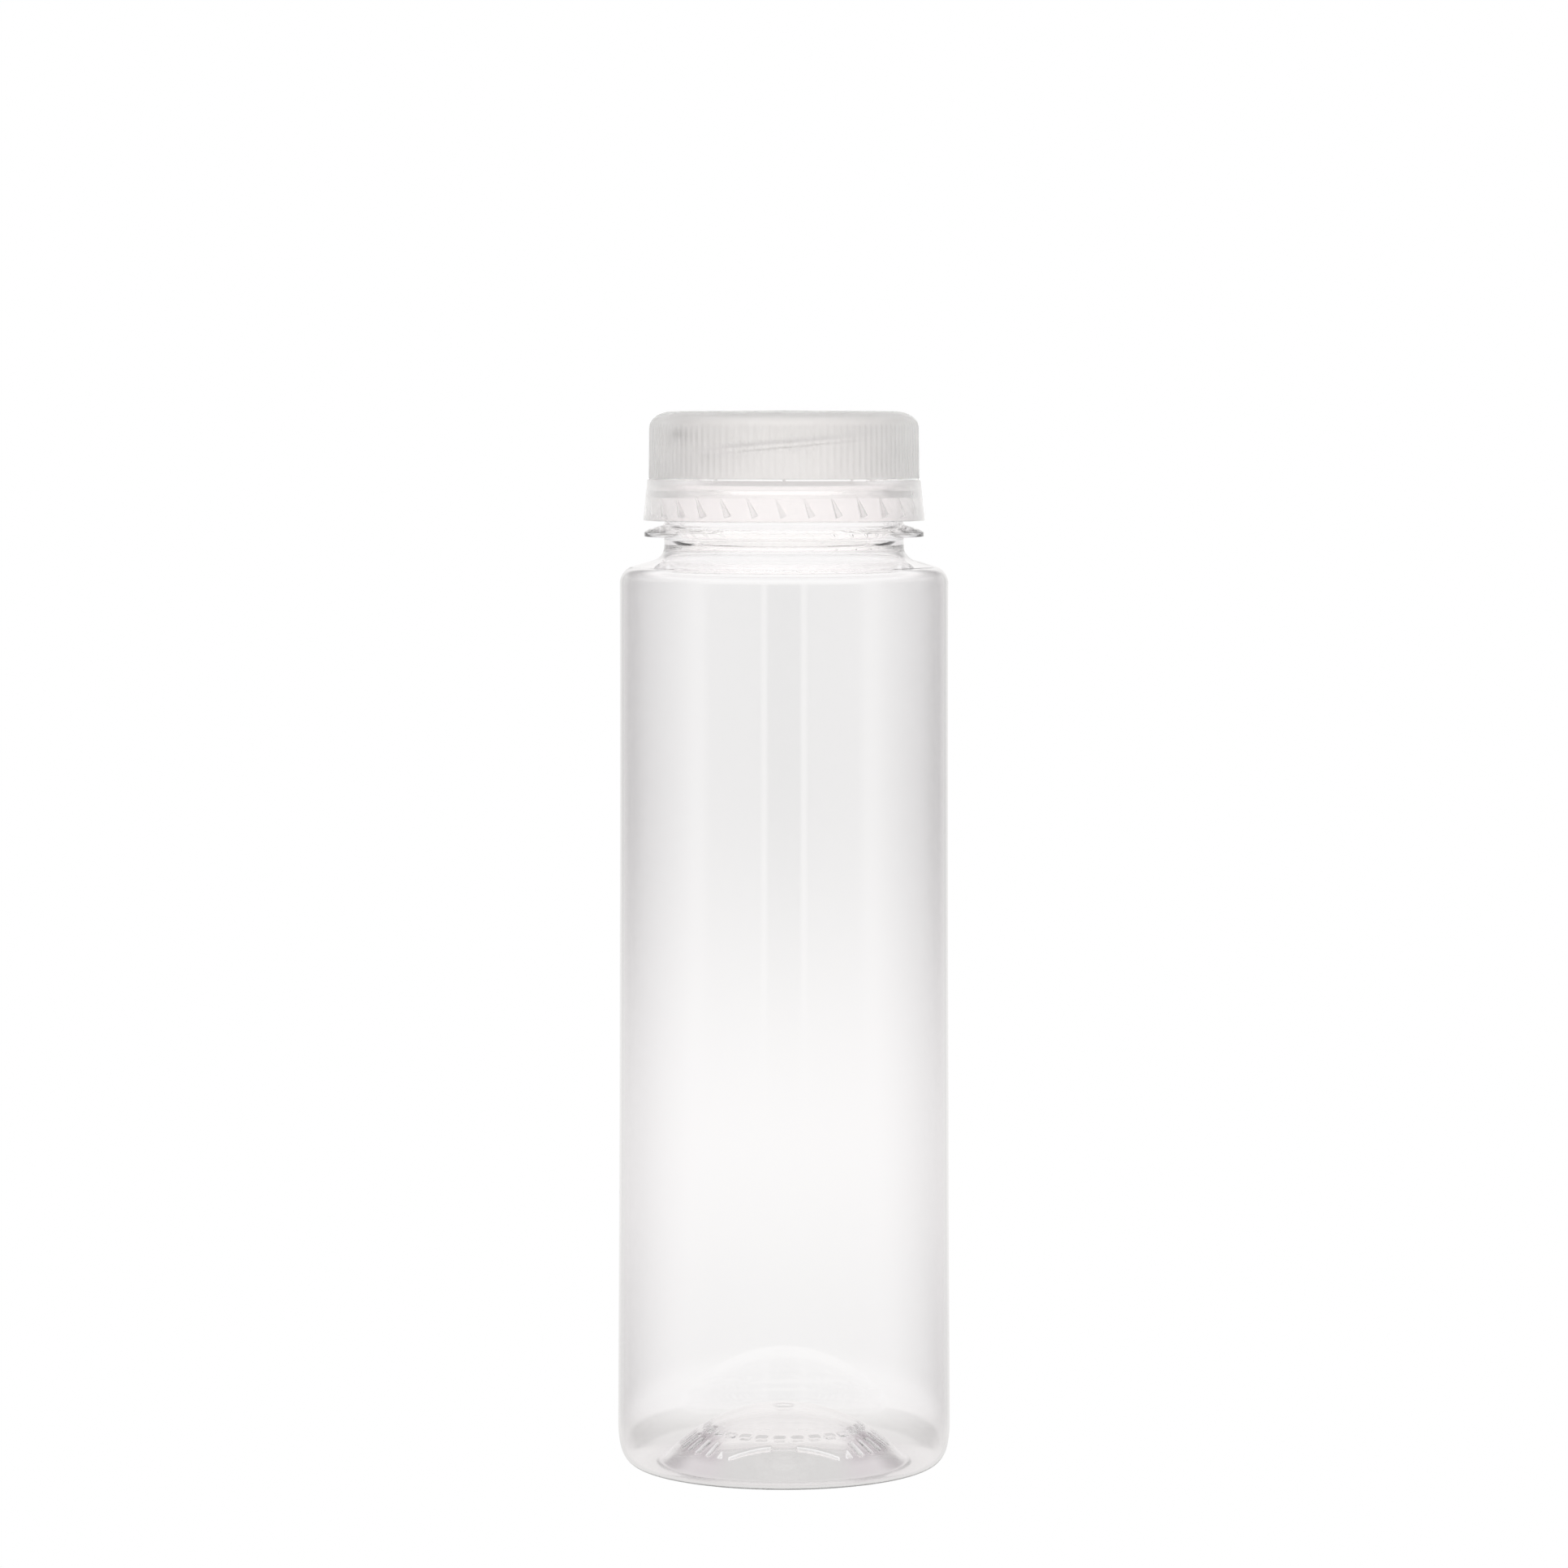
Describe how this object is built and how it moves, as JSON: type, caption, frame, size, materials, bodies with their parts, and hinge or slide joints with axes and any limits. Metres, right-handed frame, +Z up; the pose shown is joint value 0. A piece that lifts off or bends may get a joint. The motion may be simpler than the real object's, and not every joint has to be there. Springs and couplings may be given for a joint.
{
  "type": "plastic bottle",
  "caption": "Empty clear plastic drinks bottle with a straight round body, domed base, short neck with a support flange, and a ribbed translucent screw cap with its tamper band.",
  "frame": {"origin": "centre of the standing ring, on the surface that the bottle stands on", "axes": "+Z up the bottle's axis to the cap, front towards -Y, +X to the right seen from the front"},
  "size_m": [0.0506, 0.0506, 0.16],
  "materials": {
    "clear_pet": "clear blown wall, glossy, water clear with a faint cool tint at its edges",
    "cap_plastic": "unpigmented moulded plastic, milky and translucent, satin",
    "band_plastic": "the cap's unpigmented moulded plastic, thinner and a little clearer"
  },
  "bodies": {
    "root": {"bottle": "clear_pet", "screw_cap": "cap_plastic", "tamper_band": "band_plastic"}
  },
  "joints": []
}
